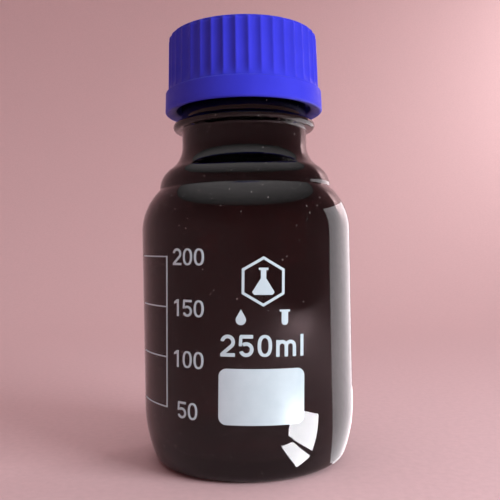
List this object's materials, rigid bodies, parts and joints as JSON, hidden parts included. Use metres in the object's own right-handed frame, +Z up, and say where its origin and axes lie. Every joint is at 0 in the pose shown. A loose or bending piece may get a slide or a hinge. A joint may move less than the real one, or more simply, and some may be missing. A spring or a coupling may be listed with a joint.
{
  "type": "laboratory screw-cap bottle",
  "caption": "Amber glass laboratory bottle with white enamel graduations and writing panel, pouring ring and a ribbed screw cap that unscrews along its thread.",
  "frame": {"origin": "centre of the foot, on the surface the bottle stands on", "axes": "+Z up along the bottle's axis; the markings face -Y; +X is to the right seen from the front"},
  "size_m": [0.07, 0.0701, 0.142],
  "materials": {
    "amber_glass": "gloss",
    "blue_plastic": "satin",
    "silicone": "matte",
    "ptfe": "satin",
    "enamel": "satin"
  },
  "bodies": {
    "bottle": {"glass_bottle": "amber_glass", "pouring_ring": "blue_plastic", "writing_panel": "enamel", "graduation_scale": "enamel", "numeral_50": "enamel", "numeral_100": "enamel", "numeral_150": "enamel", "numeral_200": "enamel", "capacity_marking": "enamel", "flask_emblem": "enamel", "side_marks": "enamel"},
    "seal": {"cap_liner": "silicone", "liner_facing": "ptfe"},
    "cap": {"screw_cap": "blue_plastic"}
  },
  "joints": [
    {"name": "cap_lift", "type": "slide", "parent": "bottle", "child": "seal", "axis": [0, 0, 1], "range_m": [0, 0.0281]},
    {"name": "cap_turn", "type": "hinge", "parent": "seal", "child": "cap", "pos_m": [0, 0, 0.129], "axis": [0, 0, 1], "range_deg": [0, 2520]}
  ],
  "couplings": [
    {"joint": "cap_lift", "follows": "cap_turn", "m_per_rad": 0.00063662}
  ]
}
